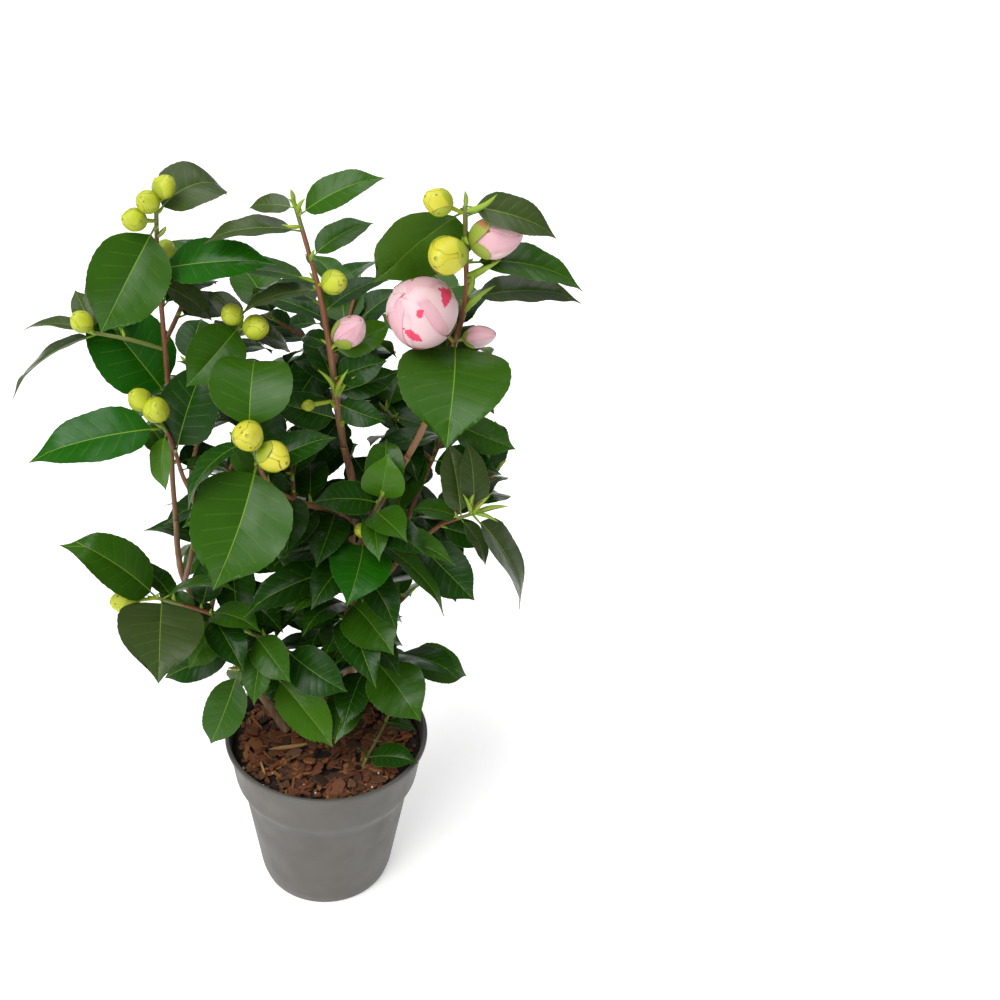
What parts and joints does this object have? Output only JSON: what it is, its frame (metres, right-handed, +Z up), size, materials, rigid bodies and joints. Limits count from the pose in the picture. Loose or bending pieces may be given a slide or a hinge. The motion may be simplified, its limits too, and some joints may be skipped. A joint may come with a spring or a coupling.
{
  "type": "potted camellia shrub",
  "caption": "Young evergreen camellia shrub in a round nursery pot: two stems and slim boughs carrying glossy oval leaves, round green buds and opening pale pink blooms.",
  "frame": {"origin": "middle of the pot's flat underside", "axes": "+Z up along the pot's axis, -Y towards the plant's front, +X to the viewer's right"},
  "size_m": [0.3453, 0.2565, 0.5789],
  "materials": {
    "pot_plastic": "matt warm grey moulded plastic, slightly scuffed",
    "potting_bark": "coarse damp red-brown bark chips",
    "stem_bark": "smooth tan bark, redder on the young wood",
    "foliage": "thick glossy dark green leaves, dull paler undersides, yellow-green buds"
  },
  "bodies": {
    "root": {"pot": "pot_plastic", "potting_bark": "potting_bark", "trunk": "stem_bark", "stem_left": "stem_bark", "cut_stub": "stem_bark", "bough_centre": "stem_bark", "bough_right": "stem_bark", "bough_low_right": "stem_bark", "bough_back": "stem_bark", "foliage_left_top": "foliage", "foliage_left_side": "foliage", "foliage_front": "foliage", "foliage_centre_top": "foliage", "foliage_right_top": "foliage", "foliage_right_low": "foliage", "foliage_right_back": "foliage", "foliage_centre_front": "foliage", "foliage_low_left": "foliage", "foliage_low_front": "foliage", "foliage_back": "foliage", "foliage_back_left": "foliage", "foliage_low_back": "foliage", "soil_sprig": "foliage"}
  },
  "joints": []
}
